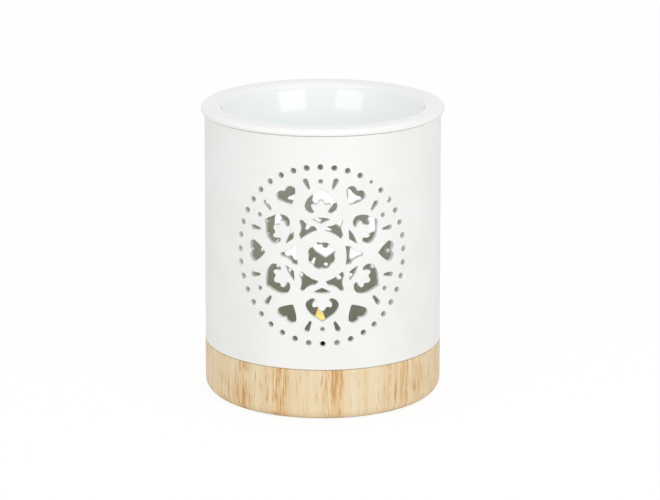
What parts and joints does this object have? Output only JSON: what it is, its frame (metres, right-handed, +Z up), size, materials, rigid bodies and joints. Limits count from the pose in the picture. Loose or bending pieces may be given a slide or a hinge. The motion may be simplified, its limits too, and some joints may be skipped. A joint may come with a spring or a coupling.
{
  "type": "oil burner",
  "caption": "Pierced ceramic tea-light oil burner: wood-effect tray, lift-off cylindrical shade with cut-out rosettes, and a lift-out oil dish.",
  "frame": {"origin": "centre of the foot, on the surface that the burner stands on", "axes": "+Z up along the burner's own axis; -Y is the front rosette, +X is to the right as seen from the front"},
  "size_m": [0.1024, 0.1024, 0.1246],
  "materials": {
    "wood_effect_glaze": "satin pale wood-effect print under clear glaze",
    "matt_white_ceramic": "matt white glaze",
    "gloss_white_glaze": "glossy white glaze with a faint cool tint inside",
    "pressed_aluminium": "thin pressed sheet",
    "candle_wax": "translucent white wax",
    "braided_cotton": "burnt at its end",
    "tinned_steel": "thin stamped sheet"
  },
  "bodies": {
    "tray": {"base_tray": "wood_effect_glaze"},
    "shade": {"pierced_shade": "matt_white_ceramic"},
    "dish": {"oil_dish": "gloss_white_glaze"},
    "tealight": {"tealight_cup": "pressed_aluminium", "tealight_wax": "candle_wax", "tealight_wick": "braided_cotton", "wick_sustainer": "tinned_steel"}
  },
  "joints": [
    {"name": "shade_lift", "type": "slide", "parent": "tray", "child": "shade", "axis": [0, 0, 1], "range_m": [0, 0.06]},
    {"name": "dish_lift", "type": "slide", "parent": "shade", "child": "dish", "axis": [0, 0, 1], "range_m": [0, 0.045]},
    {"name": "tealight_lift", "type": "slide", "parent": "tray", "child": "tealight", "axis": [0, 0, 1], "range_m": [0, 0.03]}
  ]
}
